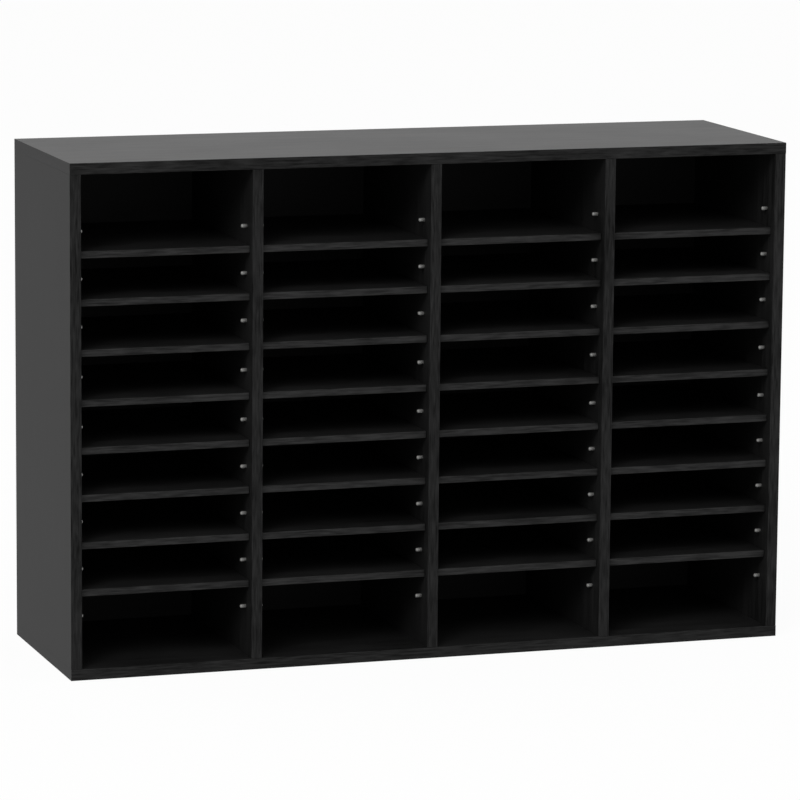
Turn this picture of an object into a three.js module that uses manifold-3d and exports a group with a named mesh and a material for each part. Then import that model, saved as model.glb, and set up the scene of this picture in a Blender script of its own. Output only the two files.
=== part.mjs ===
// Pigeonhole mail sorter: a free-standing board case, open at the front,
// with four columns of nine compartments.
// Loose shelves rest on metal pins that hide in rebates in the shelves' ends, and pull out forwards.
// Millimetres. X is the width, with +X to the right seen from the front.
// Y is the depth, with the open front at -Y. Z is up.
// The origin is at the middle of the underside.
import * as THREE from "three";
import { mergeVertices } from "three/addons/utils/BufferGeometryUtils.js";
import Module from "manifold-3d";

// Case
const WIDTH = 998; // over the two sides
const DEPTH = 300; // front edges to rear edges
const BOARD = 15; // sides, dividers, top and bottom
const EDGE_RADIUS = 1; // rounding of the banded front edges of every board
const EDGE_STEPS = 3; // flats in each rounding
const BUTT_GAP = 0.05; // between boards that meet end to face

// Columns, and the clear height of each row from the top one down
const COLUMNS = 4;
const TOP_ROW = 101;
const LOW_ROW = 53.4;
const MIDDLE_ROW = 56.5;
const BOTTOM_ROW = 95;
const ROWS = [TOP_ROW, LOW_ROW, MIDDLE_ROW, MIDDLE_ROW, LOW_ROW, LOW_ROW, LOW_ROW, LOW_ROW, BOTTOM_ROW];

// Shelves
const SHELF_BOARD = 9.5;
const SHELF_SETBACK = 10; // case front to shelf front
const SHELF_END_PLAY = 1; // at each end of a shelf
const SHELF_REAR_PLAY = 1; // shelf to back panel

// Shelf pins
const PIN_DIAMETER = 5;
const PIN_SIDES = 8;
const PIN_REACH = 8; // out of the wall
const PIN_LINE = 27; // case front to the front pins, and back panel to the rear pins
const PIN_RISE = 0.6; // shelf's underside to pin's underside, so that the pin is out of sight
const PIN_PLAY = 0.2; // pin's top to the shelf that it carries
const REBATE_PLAY = 1; // past the pin's tip and in front of the front pin

// Back panel and the groove that it stands in
const BACK_BOARD = 3;
const BACK_INSET = 6; // case rear to back panel
const GROOVE_DEPTH = 6;
const GROOVE_PLAY = 0.3; // round the panel's edge

// Dowels
const DOWEL_DIAMETER = 8;
const DOWEL_LENGTH = 30;
const DOWEL_SIDES = 12;
const DOWEL_SKIN = 5; // board left past the dowel's end in the board that it meets face on
const DOWEL_LINE = 50; // from the case's front and rear edges
const DOWEL_PLAY = 0.3; // all round, and at both ends

// Making of the solids
const CUT_PAST = 1; // how far a cutter runs out past the face that it opens
const MERGE_DISTANCE = 1e-3; // corners nearer than this are one corner

// Sizes that follow
const HEIGHT = 2 * BOARD + (ROWS.length - 1) * SHELF_BOARD + ROWS.reduce((sum, row) => sum + row, 0);
const BAY = (WIDTH - (COLUMNS + 1) * BOARD) / COLUMNS;
const FRONT = -DEPTH / 2;
const REAR = DEPTH / 2;
const BACK_FACE = REAR - BACK_INSET - BACK_BOARD; // front face of the back panel
const SHELF_WIDTH = BAY - 2 * SHELF_END_PLAY;
const SHELF_DEPTH = BACK_FACE - SHELF_REAR_PLAY - (FRONT + SHELF_SETBACK);
const DIVIDER_DEPTH = BACK_FACE - GROOVE_PLAY - FRONT;
const UPRIGHT_FOOT = BOARD + BUTT_GAP; // sides and dividers stand between the bottom and the top
const UPRIGHT_HEAD = HEIGHT - UPRIGHT_FOOT;
const PIN_LINES = [FRONT + PIN_LINE, BACK_FACE - PIN_LINE];
const DOWEL_LINES = { front: FRONT + DOWEL_LINE, rear: REAR - DOWEL_LINE };
const DOWEL_IN_FACE = BOARD - DOWEL_SKIN; // the rest of the dowel is in the end of the other board

// A hole for a dowel is wider than it by the play, and longer by the play at its blind end.
const HOLE_DIAMETER = DOWEL_DIAMETER + 2 * DOWEL_PLAY;
const HOLE_IN_FACE = DOWEL_IN_FACE + DOWEL_PLAY;
const HOLE_IN_END = DOWEL_LENGTH - DOWEL_IN_FACE + DOWEL_PLAY;

// Place across the width of each upright's middle, from number 0 (left side) to COLUMNS (right side).
const uprightX = (number) => (BAY + BOARD) * (number - COLUMNS / 2);
// Middle of each column of compartments, from number 0 at the left.
const bayX = (column) => (uprightX(column) + uprightX(column + 1)) / 2;
const uprightNumbers = Array.from({ length: COLUMNS + 1 }, (_, number) => number);
const dividerNumbers = uprightNumbers.slice(1, -1);

// Height of the underside of each shelf, from the top one down.
const SHELF_HEIGHTS = ROWS.slice(0, -1).map((_, row) => {
  const rowsAbove = ROWS.slice(0, row + 1).reduce((sum, clear) => sum + clear, 0);
  return HEIGHT - BOARD - rowsAbove - (row + 1) * SHELF_BOARD;
});

const laminate = new THREE.MeshStandardMaterial({ color: 0x1c1c1d, roughness: 0.42, metalness: 0 });
const shelfLaminate = new THREE.MeshStandardMaterial({ color: 0x1e1e1f, roughness: 0.45, metalness: 0 });
const hardboard = new THREE.MeshStandardMaterial({ color: 0x151515, roughness: 0.6, metalness: 0 });
const beech = new THREE.MeshStandardMaterial({ color: 0xcfae80, roughness: 0.7, metalness: 0 });

const wasm = await Module();
wasm.setup();

// A closed geometry as a solid that can be joined and cut.
function solidOf(geometry) {
  const bare = new THREE.BufferGeometry();
  bare.setAttribute("position", geometry.getAttribute("position"));
  bare.setIndex(geometry.index);
  const merged = mergeVertices(bare, MERGE_DISTANCE);
  return new wasm.Manifold(
    new wasm.Mesh({
      numProp: 3,
      vertProperties: merged.getAttribute("position").array,
      triVerts: new Uint32Array(merged.index.array),
    }),
  );
}

// A solid as a geometry, with one flat normal for each triangle.
function geometryOf(solid) {
  const { vertProperties, triVerts } = solid.getMesh();
  const shared = new THREE.BufferGeometry();
  shared.setAttribute("position", new THREE.BufferAttribute(vertProperties, 3));
  shared.setIndex(new THREE.BufferAttribute(triVerts, 1));
  const flat = shared.toNonIndexed();
  flat.computeVertexNormals();
  return flat;
}

function block(low, high) {
  const size = high.map((value, axis) => value - low[axis]);
  const middle = high.map((value, axis) => (value + low[axis]) / 2);
  return solidOf(new THREE.BoxGeometry(...size).translate(...middle));
}

// A round rod from one end to the other along X, its axis through (y, z).
function rodAlongX(diameter, sides, fromX, toX, y, z) {
  const rod = new THREE.CylinderGeometry(diameter / 2, diameter / 2, toX - fromX, sides);
  return solidOf(rod.rotateZ(Math.PI / 2).translate((fromX + toX) / 2, y, z));
}

// A round rod standing on its lower end, its axis through (x, y).
function rodAlongZ(diameter, sides, fromZ, toZ, x, y) {
  const rod = new THREE.CylinderGeometry(diameter / 2, diameter / 2, toZ - fromZ, sides);
  return solidOf(rod.rotateX(Math.PI / 2).translate(x, y, (fromZ + toZ) / 2));
}

// A standing board, its thickness centred on X, its front edge at y = 0 rounded, its foot at z = 0.
function boardGeometry(thickness, depth, length) {
  const half = thickness / 2;
  const flat = half - EDGE_RADIUS;
  const section = new THREE.Shape();
  section.moveTo(half, depth);
  section.lineTo(-half, depth);
  section.lineTo(-half, EDGE_RADIUS);
  section.absarc(-flat, EDGE_RADIUS, EDGE_RADIUS, Math.PI, 1.5 * Math.PI, false);
  section.lineTo(flat, 0);
  section.absarc(flat, EDGE_RADIUS, EDGE_RADIUS, 1.5 * Math.PI, 2 * Math.PI, false);
  section.lineTo(half, depth);
  return new THREE.ExtrudeGeometry(section, {
    depth: length,
    bevelEnabled: false,
    curveSegments: EDGE_STEPS,
  });
}

// The same board lying down: length along X and centred, front edge at y = 0, thickness from z = 0 up.
function lyingBoard(thickness, depth, length) {
  const board = boardGeometry(thickness, depth, length);
  return solidOf(board.rotateY(Math.PI / 2).translate(-length / 2, 0, thickness / 2));
}

const cutAll = (solid, cutters) => cutters.reduce((left, cutter) => left.subtract(cutter), solid);
const joinAll = (solid, pieces) => pieces.reduce((whole, piece) => whole.add(piece), solid);

// The pins of one upright, from one x to another, at every shelf height, front and rear.
function shelfPins(fromX, toX) {
  return SHELF_HEIGHTS.flatMap((height) => {
    const z = height + PIN_RISE + PIN_DIAMETER / 2;
    return PIN_LINES.map((y) => rodAlongX(PIN_DIAMETER, PIN_SIDES, fromX, toX, y, z));
  });
}

// The groove for one edge of the back panel, as a block to cut away.
function groove(lowX, highX, lowZ, highZ) {
  return block(
    [lowX, BACK_FACE - GROOVE_PLAY, lowZ],
    [highX, BACK_FACE + BACK_BOARD + GROOVE_PLAY, highZ],
  );
}

// A side or divider between the bottom and the top, its thickness centred on x = 0,
// with holes for dowels in both ends.
function uprightBoard(depth) {
  const board = boardGeometry(BOARD, depth, UPRIGHT_HEAD - UPRIGHT_FOOT).translate(0, FRONT, UPRIGHT_FOOT);
  const holes = Object.values(DOWEL_LINES).flatMap((y) => [
    rodAlongZ(HOLE_DIAMETER, DOWEL_SIDES, UPRIGHT_FOOT - CUT_PAST, UPRIGHT_FOOT + HOLE_IN_END, 0, y),
    rodAlongZ(HOLE_DIAMETER, DOWEL_SIDES, UPRIGHT_HEAD - HOLE_IN_END, UPRIGHT_HEAD + CUT_PAST, 0, y),
  ]);
  return cutAll(solidOf(board), holes);
}

// A side panel, with pins and the groove for the back panel in its inner face.
// Inwards is +1 on the left side and -1 on the right one.
function sidePanel(inwards) {
  const face = (inwards * BOARD) / 2;
  const span = (from, to) => [Math.min(from, to), Math.max(from, to)];
  const backGroove = groove(
    ...span(face - inwards * GROOVE_DEPTH, face + inwards * CUT_PAST),
    UPRIGHT_FOOT - CUT_PAST,
    UPRIGHT_HEAD + CUT_PAST,
  );
  const pins = shelfPins(...span(0, face + inwards * PIN_REACH));
  return geometryOf(joinAll(uprightBoard(DEPTH).subtract(backGroove), pins));
}

// A divider, with pins right through it for the shelves on both sides.
function divider() {
  const reach = BOARD / 2 + PIN_REACH;
  return geometryOf(joinAll(uprightBoard(DIVIDER_DEPTH), shelfPins(-reach, reach)));
}

// The top or bottom panel, with z = 0 at its underside. The bottom panel's inner face looks up.
// It runs over the sides' ends, and its groove stops short of its own ends.
function capPanel(innerFaceUp) {
  const fromFace = (depth) => (innerFaceUp ? [BOARD - depth, BOARD + CUT_PAST] : [-CUT_PAST, depth]);
  const board = lyingBoard(BOARD, DEPTH, WIDTH).translate([0, FRONT, 0]);
  const grooveEnd = WIDTH / 2 - BOARD + GROOVE_DEPTH;
  const backGroove = groove(-grooveEnd, grooveEnd, ...fromFace(GROOVE_DEPTH));
  const holes = uprightNumbers.flatMap((number) =>
    Object.values(DOWEL_LINES).map((y) =>
      rodAlongZ(HOLE_DIAMETER, DOWEL_SIDES, ...fromFace(HOLE_IN_FACE), uprightX(number), y),
    ),
  );
  return geometryOf(cutAll(board, [backGroove, ...holes]));
}

// A shelf with its front edge at y = 0 and its underside at z = 0.
// The rebates in its ends are open at the rear, so it slides forwards off its pins.
function shelf() {
  const end = SHELF_WIDTH / 2;
  const past = end + CUT_PAST;
  const pastRear = SHELF_DEPTH + CUT_PAST;
  const rebateIn = end - (PIN_REACH - SHELF_END_PLAY + REBATE_PLAY);
  const rebateTop = PIN_RISE + PIN_DIAMETER + PIN_PLAY;
  const rebateFront = PIN_LINE - SHELF_SETBACK - PIN_DIAMETER / 2 - REBATE_PLAY;
  const rebates = [
    block([-past, rebateFront, -CUT_PAST], [-rebateIn, pastRear, rebateTop]),
    block([rebateIn, rebateFront, -CUT_PAST], [past, pastRear, rebateTop]),
  ];
  return geometryOf(cutAll(lyingBoard(SHELF_BOARD, SHELF_DEPTH, SHELF_WIDTH), rebates));
}

// The back panel fills its groove on all four sides, less the play.
function backPanel() {
  const acrossX = WIDTH / 2 - BOARD + GROOVE_DEPTH - GROOVE_PLAY;
  const foot = BOARD - GROOVE_DEPTH + GROOVE_PLAY;
  return geometryOf(block([-acrossX, BACK_FACE, foot], [acrossX, BACK_FACE + BACK_BOARD, HEIGHT - foot]));
}

const sorter = new THREE.Group();

function place(name, geometry, material, x, y, z) {
  const mesh = new THREE.Mesh(geometry, material);
  mesh.name = name;
  mesh.position.set(x, y, z);
  sorter.add(mesh);
}

place("left_side", sidePanel(1), laminate, uprightX(0), 0, 0);
place("right_side", sidePanel(-1), laminate, uprightX(COLUMNS), 0, 0);
place("bottom_panel", capPanel(true), laminate, 0, 0, 0);
place("top_panel", capPanel(false), laminate, 0, 0, HEIGHT - BOARD);
place("back_panel", backPanel(), hardboard, 0, 0, 0);

const dividerShape = divider();
for (const number of dividerNumbers) {
  place(`divider_${number}`, dividerShape, laminate, uprightX(number), 0, 0);
}

const shelfShape = shelf();
for (let column = 0; column < COLUMNS; column++) {
  SHELF_HEIGHTS.forEach((height, row) => {
    const name = `shelf_col${column + 1}_row${row + 1}`;
    place(name, shelfShape, shelfLaminate, bayX(column), FRONT + SHELF_SETBACK, height);
  });
}

// Two dowels stand in each end of every side and divider, and reach into the top or bottom panel.
const dowelShape = geometryOf(rodAlongZ(DOWEL_DIAMETER, DOWEL_SIDES, 0, DOWEL_LENGTH, 0, 0));
const DOWEL_FEET = { bottom: BOARD - DOWEL_IN_FACE, top: HEIGHT - BOARD + DOWEL_IN_FACE - DOWEL_LENGTH };
const uprightNames = ["left", ...dividerNumbers.map((number) => `divider_${number}`), "right"];
uprightNames.forEach((upright, number) => {
  for (const [level, foot] of Object.entries(DOWEL_FEET)) {
    for (const [line, y] of Object.entries(DOWEL_LINES)) {
      place(`dowel_${upright}_${level}_${line}`, dowelShape, beech, uprightX(number), y, foot);
    }
  }
});

export default sorter;
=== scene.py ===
import math

import bmesh
import bpy
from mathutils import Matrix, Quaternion, Vector


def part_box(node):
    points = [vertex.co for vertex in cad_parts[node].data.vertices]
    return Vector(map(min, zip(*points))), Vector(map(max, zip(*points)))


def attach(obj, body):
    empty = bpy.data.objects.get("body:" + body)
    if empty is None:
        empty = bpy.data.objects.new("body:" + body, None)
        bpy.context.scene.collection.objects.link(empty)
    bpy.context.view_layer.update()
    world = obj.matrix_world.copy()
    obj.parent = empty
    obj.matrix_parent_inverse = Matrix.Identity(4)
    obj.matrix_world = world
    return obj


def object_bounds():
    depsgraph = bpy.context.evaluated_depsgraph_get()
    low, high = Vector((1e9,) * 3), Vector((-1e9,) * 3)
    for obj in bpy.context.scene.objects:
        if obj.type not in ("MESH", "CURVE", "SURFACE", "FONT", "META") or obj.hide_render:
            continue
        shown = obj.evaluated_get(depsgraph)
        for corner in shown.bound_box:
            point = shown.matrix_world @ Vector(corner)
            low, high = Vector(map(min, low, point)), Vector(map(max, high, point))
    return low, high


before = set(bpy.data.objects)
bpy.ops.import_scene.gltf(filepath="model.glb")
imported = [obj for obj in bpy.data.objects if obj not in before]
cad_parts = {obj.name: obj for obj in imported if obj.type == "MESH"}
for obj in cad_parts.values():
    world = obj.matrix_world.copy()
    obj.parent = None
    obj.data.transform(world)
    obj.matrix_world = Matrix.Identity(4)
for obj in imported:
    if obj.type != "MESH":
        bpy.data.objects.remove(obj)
cad_low, cad_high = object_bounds()

# Pigeonhole mail sorter: the finish of its boards, its spare shelf pins, the light and the camera.
# Metres. X is the width, Y runs from the open front to the back, Z is up.
MM = 0.001

# Camera, at the photograph's viewpoint
CAMERA_PLACE = Vector((-1.9844, -5.9696, 1.3759))
CAMERA_AIM = Vector((-0.0486, -0.150, 0.3536))  # where the middle of the picture meets the front
CAMERA_ROLL_DEG = 0.48
LENS_MM = 210.75
SENSOR_MM = 36.0
CLIP_END = 100.0

# Light
# A level is how bright a white card is that faces the light: 1 is white.
SKY_LEVEL = 0.52
KEY_LEVEL = 0.55
KEY_FROM = Vector((-7.5, -9.0, 9.0))
KEY_SIZE = 7.0
FILL_LEVEL = 0.12
FILL_FROM = Vector((9.5, -5.5, 7.0))
FILL_SIZE = 7.5
WHITE = (1.0, 1.0, 1.0, 1.0)

# Floor
FLOOR_SIZE = 40.0
FLOOR_DROP = 0.4 * MM  # floor below the underside, so that the two faces don't coincide
FLOOR_COLOUR = (0.94, 0.94, 0.94, 1.0)
FLOOR_ROUGHNESS = 0.9
FLOOR_WHITE = 0.95  # share of plain white in what the camera sees of the floor

# Boards
UPRIGHTS = ["left_side", "divider_1", "divider_2", "divider_3", "right_side"]
PANELS = ["top_panel", "bottom_panel"]
ARRIS = 0.12 * MM  # width of the eased edge of every board
ARRIS_STEPS = 2
ARRIS_ANGLE_DEG = 50.0  # edges sharper than this are eased
WELD_DISTANCE = 0.01 * MM
FLAT_ANGLE_DEG = 1.0  # faces nearer to one plane than this become one face
BAND_FACING = -0.3  # a face whose normal's y is below this belongs to the front edge band
FACING = 0.9  # a face looks along an axis when that share of its normal is over this
PIN_CLEAR = 0.1 * MM  # a face further than this out of an upright's board belongs to a pin

# Shelf pins
PIN_DIAMETER = 5 * MM
PIN_REACH = 8 * MM
PIN_TIP_RADIUS = 1.7 * MM
PIN_FLUSH = 0.4 * MM  # how far a pin's root is sunk in the board
PIN_SIDES = 20
PIN_TIP_STEPS = 4
PIN_LINE = 27 * MM  # case front to the front pins
PIN_ABOVE_UNDERSIDE = 3.1 * MM  # a carrying pin's middle above its shelf's underside
SPARE_BELOW = 32 * MM  # from each carrying pin down to the spare one under it
SPARE_ABOVE = 30.5 * MM  # from the topmost carrying pin up to the spare one over it

# Finishes
# A pattern is given as the number of its features in a metre, along X, Y and Z or in all directions.
# Detail is the number of finer layers in its noise, and grit is their strength.
# Greys are its dark and its light tone, and spread is how far its noise goes from 0.5 to reach them.
# Roughness runs from the dark tone to the light one, and shine is the shader's specular level.
# Relief is the height and the strength of the bump.

# Noise: its usual grit, and the range that it seldom leaves
NOISE_GRIT = 0.55
NOISE_LOW = 0.3
NOISE_HIGH = 0.7

# Laminate: its patterns
FACE_GRAIN_LYING = (9.0, 420.0, 420.0)
FACE_GRAIN_UPRIGHT = (420.0, 420.0, 9.0)
BAND_GRAIN_LYING = (32.0, 420.0, 420.0)
BAND_GRAIN_UPRIGHT = (420.0, 420.0, 32.0)
PANEL_END_GRAIN = (420.0, 9.0, 420.0)
FIBRE_DETAIL = 6.0
FIBRE_GRIT = 0.62
FIBRE_RELIEF = (0.10 * MM, 0.35)
CLOUDS = 7.0
CLOUD_DETAIL = 3.0
CLOUD_SHARE = 0.25  # in the colour, where the rest is the fibres
PEBBLE = 1500.0
PEBBLE_DETAIL = 2.0
PEBBLE_RELIEF = (0.02 * MM, 0.25)

# Laminate: its faces
FACE_GREYS = (0.0040, 0.0165)
FACE_SPREAD = 0.13
UPRIGHT_ROUGHNESS = (0.43, 0.53)
UPRIGHT_SHINE = 0.06
LYING_ROUGHNESS = (0.35, 0.45)
LYING_SHINE = 0.08

# Laminate: its edge bands
BAND_GREYS = (0.0005, 0.0165)
# The shelves' bands keep the case bands' grain and gloss but have lighter greys. This is painted extra light
# on the shelf fronts.
SHELF_BAND_GREYS_PAINTED_LIGHT = (0.0045, 0.0235)
BAND_SPREAD = 0.11
BAND_ROUGHNESS = (0.34, 0.44)
UPRIGHT_BAND_SHINE = 0.09
LYING_BAND_SHINE = 0.10

# Hardboard of the back panel
MOTTLE = 420.0
MOTTLE_DETAIL = 5.0
MOTTLE_GRIT = 0.65
MOTTLE_RELIEF = (0.12 * MM, 0.35)
PATCHES = 24.0
PATCH_DETAIL = 4.0
PATCH_SHARE = 0.5  # in the colour, where the rest is the mottle
BACK_INSIDE_GREYS = (0.0035, 0.0075)
BACK_OUTSIDE_GREYS = (0.0060, 0.0150)
HARDBOARD_SPREAD = 0.12
HARDBOARD_ROUGHNESS = (0.5, 0.68)
HARDBOARD_SHINE = 0.15

# Beech of the dowels
FLECKS = (900.0, 900.0, 120.0)
FLECK_DETAIL = 4.0
FLECK_RELIEF = (0.1 * MM, 0.3)
BEECH_DARK = (0.46, 0.31, 0.17)
BEECH_LIGHT = (0.62, 0.45, 0.27)
BEECH_SPREAD = 0.18
BEECH_ROUGHNESS = (0.55, 0.7)

# Steel of the pins
TURNING_MARKS = (6000.0, 300.0, 300.0)
TURNING_DETAIL = 3.0
TURNING_RELIEF = (0.01 * MM, 0.2)
STEEL_DARK = (0.195, 0.195, 0.190)
STEEL_LIGHT = (0.285, 0.285, 0.275)
STEEL_SPREAD = 0.18
STEEL_ROUGHNESS = (0.46, 0.58)
STEEL_METALLIC = 0.3


def nodes_named(start):
    return [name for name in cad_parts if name.startswith(start)]


SHELVES = nodes_named("shelf_")
DOWELS = nodes_named("dowel_")


# Materials

def even(value):
    """The same value along X, Y and Z, or in red, green and blue."""
    return (value, value, value)


def blank_material(name):
    material = bpy.data.materials.new(name)
    material.use_nodes = True
    tree = material.node_tree
    return material, tree, tree.nodes["Principled BSDF"]


def add_node(tree, kind, settings=None, **sockets):
    """A new node with its settings and inputs. An input is a value, or another node's output to link."""
    made = tree.nodes.new(kind)
    for key, value in (settings or {}).items():
        setattr(made, key, value)
    for key, value in sockets.items():
        socket = made.inputs[key.replace("_", " ")]
        if isinstance(value, bpy.types.NodeSocket):
            tree.links.new(value, socket)
        else:
            socket.default_value = value
    return made


def object_place(tree):
    return add_node(tree, "ShaderNodeTexCoord").outputs["Object"]


def noise(tree, place, scale, detail, grit=NOISE_GRIT):
    """Noise from 0 to 1, with scale as the number of features in a metre along X, Y and Z."""
    stretched = add_node(tree, "ShaderNodeMapping", Vector=place, Scale=scale)
    made = add_node(
        tree,
        "ShaderNodeTexNoise",
        Vector=stretched.outputs["Vector"],
        Scale=1.0,
        Detail=detail,
        Roughness=grit,
    )
    return made.outputs["Fac"]


def mixed(tree, share, first, second):
    """Two values mixed, with share as the second one's part."""
    return add_node(tree, "ShaderNodeMix", Factor=share, A=first, B=second).outputs["Result"]


def between(tree, value, low, high):
    """A value mapped from the noise's usual range to the range low to high."""
    made = add_node(
        tree,
        "ShaderNodeMapRange",
        Value=value,
        From_Min=NOISE_LOW,
        From_Max=NOISE_HIGH,
        To_Min=low,
        To_Max=high,
    )
    return made.outputs["Result"]


def two_tone(tree, value, dark, light, spread):
    """A colour that runs from dark to light as the value goes from spread under 0.5 to spread over it."""
    ramp = add_node(tree, "ShaderNodeValToRGB", Fac=value)
    ramp.color_ramp.elements[0].position = 0.5 - spread
    ramp.color_ramp.elements[0].color = (*dark, 1.0)
    ramp.color_ramp.elements[1].position = 0.5 + spread
    ramp.color_ramp.elements[1].color = (*light, 1.0)
    return ramp.outputs["Color"]


def bump(tree, height, relief, under=None):
    """A bumped normal, on top of the one under it if there is one."""
    distance, strength = relief
    made = add_node(tree, "ShaderNodeBump", Height=height, Distance=distance, Strength=strength)
    if under is not None:
        tree.links.new(under, made.inputs["Normal"])
    return made.outputs["Normal"]


def dress(tree, shader, colour, roughness, normal):
    tree.links.new(colour, shader.inputs["Base Color"])
    tree.links.new(roughness, shader.inputs["Roughness"])
    tree.links.new(normal, shader.inputs["Normal"])


def laminate(name, grain, greys, spread, roughness, shine):
    """Black laminate with a faint pressed wood grain along one axis, and a fine pebble all over."""
    material, tree, shader = blank_material(name)
    place = object_place(tree)
    fibres = noise(tree, place, grain, FIBRE_DETAIL, FIBRE_GRIT)
    clouds = noise(tree, place, even(CLOUDS), CLOUD_DETAIL)
    pebble = noise(tree, place, even(PEBBLE), PEBBLE_DETAIL)
    tone = mixed(tree, CLOUD_SHARE, fibres, clouds)
    dark, light = greys
    dress(
        tree,
        shader,
        two_tone(tree, tone, even(dark), even(light), spread),
        between(tree, tone, *roughness),
        bump(tree, pebble, PEBBLE_RELIEF, bump(tree, fibres, FIBRE_RELIEF)),
    )
    shader.inputs["Specular IOR Level"].default_value = shine
    return material


def hardboard(name, greys):
    """Black hardboard: matt, with a fine mottle of pressed fibres and larger, fainter patches."""
    material, tree, shader = blank_material(name)
    place = object_place(tree)
    mottle = noise(tree, place, even(MOTTLE), MOTTLE_DETAIL, MOTTLE_GRIT)
    patches = noise(tree, place, even(PATCHES), PATCH_DETAIL)
    tone = mixed(tree, PATCH_SHARE, mottle, patches)
    dark, light = greys
    dress(
        tree,
        shader,
        two_tone(tree, tone, even(dark), even(light), HARDBOARD_SPREAD),
        between(tree, tone, *HARDBOARD_ROUGHNESS),
        bump(tree, mottle, MOTTLE_RELIEF),
    )
    shader.inputs["Specular IOR Level"].default_value = HARDBOARD_SHINE
    return material


def beech():
    """Plain beech with short flecks along the dowel, which stands along Z."""
    material, tree, shader = blank_material("dowel_beech")
    flecks = noise(tree, object_place(tree), FLECKS, FLECK_DETAIL)
    dress(
        tree,
        shader,
        two_tone(tree, flecks, BEECH_DARK, BEECH_LIGHT, BEECH_SPREAD),
        between(tree, flecks, *BEECH_ROUGHNESS),
        bump(tree, flecks, FLECK_RELIEF),
    )
    return material


def steel():
    """Dull zinc-plated steel with faint turning marks round the pin, which lies along X."""
    material, tree, shader = blank_material("pin_steel")
    turned = noise(tree, object_place(tree), TURNING_MARKS, TURNING_DETAIL)
    dress(
        tree,
        shader,
        two_tone(tree, turned, STEEL_DARK, STEEL_LIGHT, STEEL_SPREAD),
        between(tree, turned, *STEEL_ROUGHNESS),
        bump(tree, turned, TURNING_RELIEF),
    )
    shader.inputs["Metallic"].default_value = STEEL_METALLIC
    return material


upright_face = laminate(
    "laminate_upright", FACE_GRAIN_UPRIGHT, FACE_GREYS, FACE_SPREAD, UPRIGHT_ROUGHNESS, UPRIGHT_SHINE
)
lying_face = laminate(
    "laminate_lying", FACE_GRAIN_LYING, FACE_GREYS, FACE_SPREAD, LYING_ROUGHNESS, LYING_SHINE
)
upright_band = laminate(
    "band_upright", BAND_GRAIN_UPRIGHT, BAND_GREYS, BAND_SPREAD, BAND_ROUGHNESS, UPRIGHT_BAND_SHINE
)
lying_band = laminate(
    "band_lying", BAND_GRAIN_LYING, BAND_GREYS, BAND_SPREAD, BAND_ROUGHNESS, LYING_BAND_SHINE
)
# Painted extra light: the shelf fronts' band is a lighter copy of the lying band.
shelf_band_painted_light = laminate(
    "band_shelf_painted_light", BAND_GRAIN_LYING, SHELF_BAND_GREYS_PAINTED_LIGHT, BAND_SPREAD, BAND_ROUGHNESS, LYING_BAND_SHINE
)
panel_end = laminate(
    "band_panel_end", PANEL_END_GRAIN, FACE_GREYS, FACE_SPREAD, UPRIGHT_ROUGHNESS, UPRIGHT_SHINE
)
back_inside = hardboard("hardboard_inside", BACK_INSIDE_GREYS)
back_outside = hardboard("hardboard_outside", BACK_OUTSIDE_GREYS)
dowel_wood = beech()
pin_metal = steel()


# Finish of the boards

BOARD = (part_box("top_panel")[1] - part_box("top_panel")[0]).z


def upright_middle(name):
    """The x of an upright's middle: a divider's box is even about it, and a side's outer face is bare."""
    low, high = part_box(name)
    if name == "left_side":
        return low.x + BOARD / 2
    if name == "right_side":
        return high.x - BOARD / 2
    return (low.x + high.x) / 2


def paint(name, all_over, *others):
    """Gives a node one material all over, and others to some of its faces.

    Each of the others is a material and a test, which picks faces by their middle and normal.
    The last one that picks a face counts.
    """
    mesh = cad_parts[name].data
    mesh.materials.clear()
    mesh.materials.append(all_over)
    for number, (material, chosen) in enumerate(others, start=1):
        mesh.materials.append(material)
        for face in mesh.polygons:
            if chosen(face.center, face.normal):
                face.material_index = number


def is_band(middle, normal):
    return normal.y < BAND_FACING


def is_panel_end(middle, normal):
    return abs(normal.x) > FACING


def is_outside(middle, normal):
    return normal.y > FACING


def pin_test(name):
    """A test for the faces of an upright's pins, which stand out of its board."""
    middle_x = upright_middle(name)
    return lambda middle, normal: abs(middle.x - middle_x) > BOARD / 2 + PIN_CLEAR


def ease_edges(name):
    """Welds a board's corners, makes its flat faces whole, and eases its sharp edges."""
    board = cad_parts[name]
    mesh = board.data
    mesh.polygons.foreach_set("use_smooth", [True] * len(mesh.polygons))
    mesh.edges.foreach_set("use_edge_sharp", [False] * len(mesh.edges))
    weld = board.modifiers.new("weld", "WELD")
    weld.merge_threshold = WELD_DISTANCE
    flat = board.modifiers.new("flat_faces", "DECIMATE")
    flat.decimate_type = "DISSOLVE"
    flat.angle_limit = math.radians(FLAT_ANGLE_DEG)
    flat.delimit = {"MATERIAL"}
    arris = board.modifiers.new("arris", "BEVEL")
    arris.width = ARRIS
    arris.segments = ARRIS_STEPS
    arris.limit_method = "ANGLE"
    arris.angle_limit = math.radians(ARRIS_ANGLE_DEG)
    normals = board.modifiers.new("flat_normals", "WEIGHTED_NORMAL")
    normals.keep_sharp = False


for name in UPRIGHTS:
    paint(name, upright_face, (upright_band, is_band), (pin_metal, pin_test(name)))
for name in PANELS:
    paint(name, lying_face, (lying_band, is_band), (panel_end, is_panel_end))
for name in SHELVES:
    paint(name, lying_face, (shelf_band_painted_light, is_band))
for name in DOWELS:
    paint(name, dowel_wood)
paint("back_panel", back_inside, (back_outside, is_outside))
for name in UPRIGHTS + PANELS + SHELVES + DOWELS + ["back_panel"]:
    ease_edges(name)


# Spare shelf pins

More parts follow.
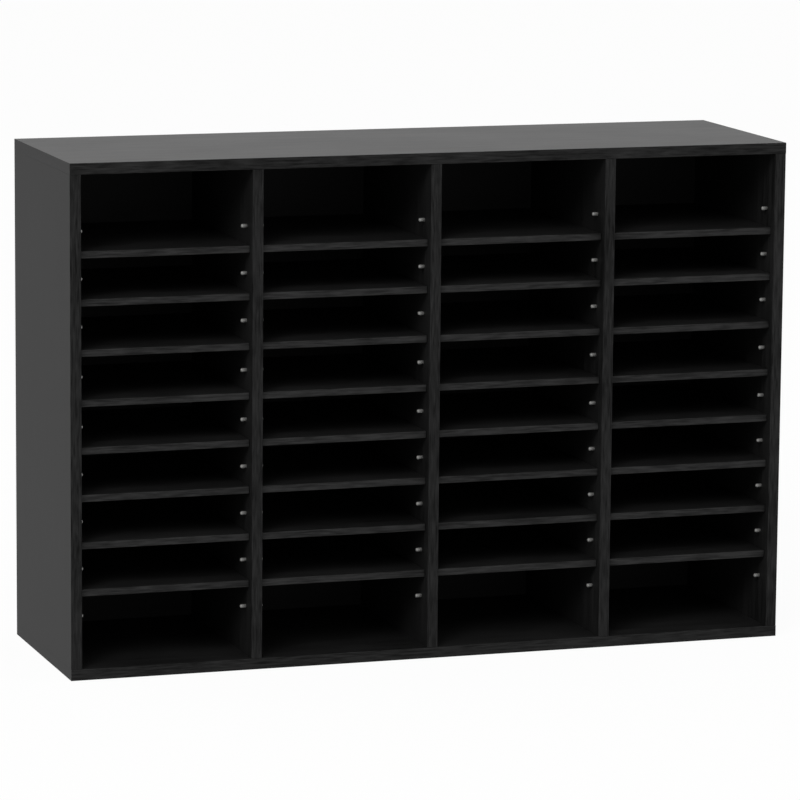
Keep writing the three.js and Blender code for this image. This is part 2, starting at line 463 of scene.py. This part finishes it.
def pin_profile():
    """(distance from the wall, radius) along a pin, from its root to its rounded tip."""
    radius = PIN_DIAMETER / 2
    points = [(-PIN_FLUSH, radius), (PIN_REACH - PIN_TIP_RADIUS, radius)]
    for step in range(1, PIN_TIP_STEPS + 1):
        turn = math.pi / 2 * step / PIN_TIP_STEPS
        out = PIN_REACH - PIN_TIP_RADIUS + PIN_TIP_RADIUS * math.sin(turn)
        points.append((out, radius - PIN_TIP_RADIUS + PIN_TIP_RADIUS * math.cos(turn)))
    return points


def add_pin(bm, wall_x, outwards, y, z):
    """A closed round pin that stands out of a wall along +X or -X."""
    turns = [2 * math.pi * side / PIN_SIDES for side in range(PIN_SIDES)]
    rings = []
    for out, radius in pin_profile():
        x = wall_x + outwards * out
        rings.append([bm.verts.new((x, y + radius * math.cos(t), z + radius * math.sin(t))) for t in turns])
    for inner, outer in zip(rings, rings[1:]):
        for side in range(PIN_SIDES):
            after = (side + 1) % PIN_SIDES
            bm.faces.new((inner[side], inner[after], outer[after], outer[side]))
    bm.faces.new(rings[0])
    bm.faces.new(rings[-1])


def pin_wall(name, wall_x, outwards, places):
    """The spare pins on one face of an upright, as one piece. Their sides are smooth and their ends flat."""
    bm = bmesh.new()
    for y, z in places:
        add_pin(bm, wall_x, outwards, y, z)
    bmesh.ops.recalc_face_normals(bm, faces=bm.faces)
    mesh = bpy.data.meshes.new(name)
    bm.to_mesh(mesh)
    bm.free()
    mesh.polygons.foreach_set("use_smooth", [len(face.vertices) < PIN_SIDES for face in mesh.polygons])
    mesh.materials.append(pin_metal)
    piece = bpy.data.objects.new(name, mesh)
    bpy.context.scene.collection.objects.link(piece)
    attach(piece, "case")


def spare_places():
    """(y, z) of the spare pins: one below each carrying pin, and one above the topmost."""
    undersides = [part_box(name)[0].z for name in nodes_named("shelf_col1_")]
    carrying = sorted((underside + PIN_ABOVE_UNDERSIDE for underside in undersides), reverse=True)
    heights = [carrying[0] + SPARE_ABOVE] + [z - SPARE_BELOW for z in carrying]
    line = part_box("left_side")[0].y + PIN_LINE
    return [(line, z) for z in heights]


SPARES = spare_places()
for name in UPRIGHTS:
    middle_x = upright_middle(name)
    if name != "right_side":
        pin_wall(f"spare_pins_{name}_right_face", middle_x + BOARD / 2, 1, SPARES)
    if name != "left_side":
        pin_wall(f"spare_pins_{name}_left_face", middle_x - BOARD / 2, -1, SPARES)


# Floor, light and camera

def rays_that_see_white(tree):
    """1 for a ray from the camera, a gloss or glass, and 0 for the rays that light matt surfaces."""
    path = add_node(tree, "ShaderNodeLightPath").outputs
    most = path["Is Camera Ray"]
    for kind in ("Is Glossy Ray", "Is Transmission Ray"):
        both = add_node(tree, "ShaderNodeMath", {"operation": "MAXIMUM"})
        tree.links.new(most, both.inputs[0])
        tree.links.new(path[kind], both.inputs[1])
        most = both.outputs["Value"]
    return most


def mix_shaders(tree, share, plain, seen):
    made = tree.nodes.new("ShaderNodeMixShader")
    tree.links.new(share, made.inputs["Fac"])
    tree.links.new(plain, made.inputs[1])
    tree.links.new(seen, made.inputs[2])
    return made.outputs["Shader"]


def make_world():
    """A white backdrop, which lights the object at the sky's level."""
    world = bpy.data.worlds.new("studio")
    world.use_nodes = True
    tree = world.node_tree
    tree.nodes.clear()
    lighting = add_node(tree, "ShaderNodeBackground", Color=WHITE, Strength=SKY_LEVEL)
    backdrop = add_node(tree, "ShaderNodeBackground", Color=WHITE, Strength=1.0)
    shown = mix_shaders(
        tree, rays_that_see_white(tree), lighting.outputs["Background"], backdrop.outputs["Background"]
    )
    output = tree.nodes.new("ShaderNodeOutputWorld")
    tree.links.new(shown, output.inputs["Surface"])
    bpy.context.scene.world = world


def make_floor():
    """A pale floor that looks nearly white and keeps the object's shadow."""
    half = FLOOR_SIZE / 2
    mesh = bpy.data.meshes.new("floor")
    corners = [(-half, -half), (half, -half), (half, half), (-half, half)]
    mesh.from_pydata([(x, y, -FLOOR_DROP) for x, y in corners], [], [(0, 1, 2, 3)])
    material, tree, shader = blank_material("pale_floor")
    shader.inputs["Base Color"].default_value = FLOOR_COLOUR
    shader.inputs["Roughness"].default_value = FLOOR_ROUGHNESS
    shader.inputs["Specular IOR Level"].default_value = 0.0
    glow = add_node(tree, "ShaderNodeEmission", Color=WHITE, Strength=1.0)
    share = add_node(tree, "ShaderNodeMath", {"operation": "MULTIPLY"})
    tree.links.new(rays_that_see_white(tree), share.inputs[0])
    share.inputs[1].default_value = FLOOR_WHITE
    shown = mix_shaders(tree, share.outputs["Value"], shader.outputs["BSDF"], glow.outputs["Emission"])
    tree.links.new(shown, tree.nodes["Material Output"].inputs["Surface"])
    mesh.materials.append(material)
    floor = bpy.data.objects.new("floor", mesh)
    bpy.context.scene.collection.objects.link(floor)


def make_lamp(name, level, size, place, aim):
    """A round soft lamp, with the power that lights a white card at its aim to the level."""
    lamp = bpy.data.lights.new(name, "AREA")
    lamp.energy = level * (math.pi * (aim - place).length) ** 2
    lamp.shape = "DISK"
    lamp.size = size
    holder = bpy.data.objects.new(name, lamp)
    holder.location = place
    holder.rotation_mode = "QUATERNION"
    holder.rotation_quaternion = (aim - place).to_track_quat("-Z", "Y")
    bpy.context.scene.collection.objects.link(holder)


def make_camera():
    camera = bpy.data.objects.new("camera", bpy.data.cameras.new("camera"))
    camera.data.lens = LENS_MM
    camera.data.sensor_width = SENSOR_MM
    camera.data.clip_end = CLIP_END
    camera.location = CAMERA_PLACE
    camera.rotation_mode = "QUATERNION"
    level = (CAMERA_AIM - CAMERA_PLACE).to_track_quat("-Z", "Y")
    camera.rotation_quaternion = level @ Quaternion((0.0, 0.0, 1.0), math.radians(CAMERA_ROLL_DEG))
    bpy.context.scene.collection.objects.link(camera)
    bpy.context.scene.camera = camera


case_middle = (cad_low + cad_high) / 2
make_world()
make_floor()
make_lamp("key", KEY_LEVEL, KEY_SIZE, KEY_FROM, case_middle)
make_lamp("fill", FILL_LEVEL, FILL_SIZE, FILL_FROM, case_middle)
make_camera()
bpy.context.scene.view_settings.view_transform = "Standard"
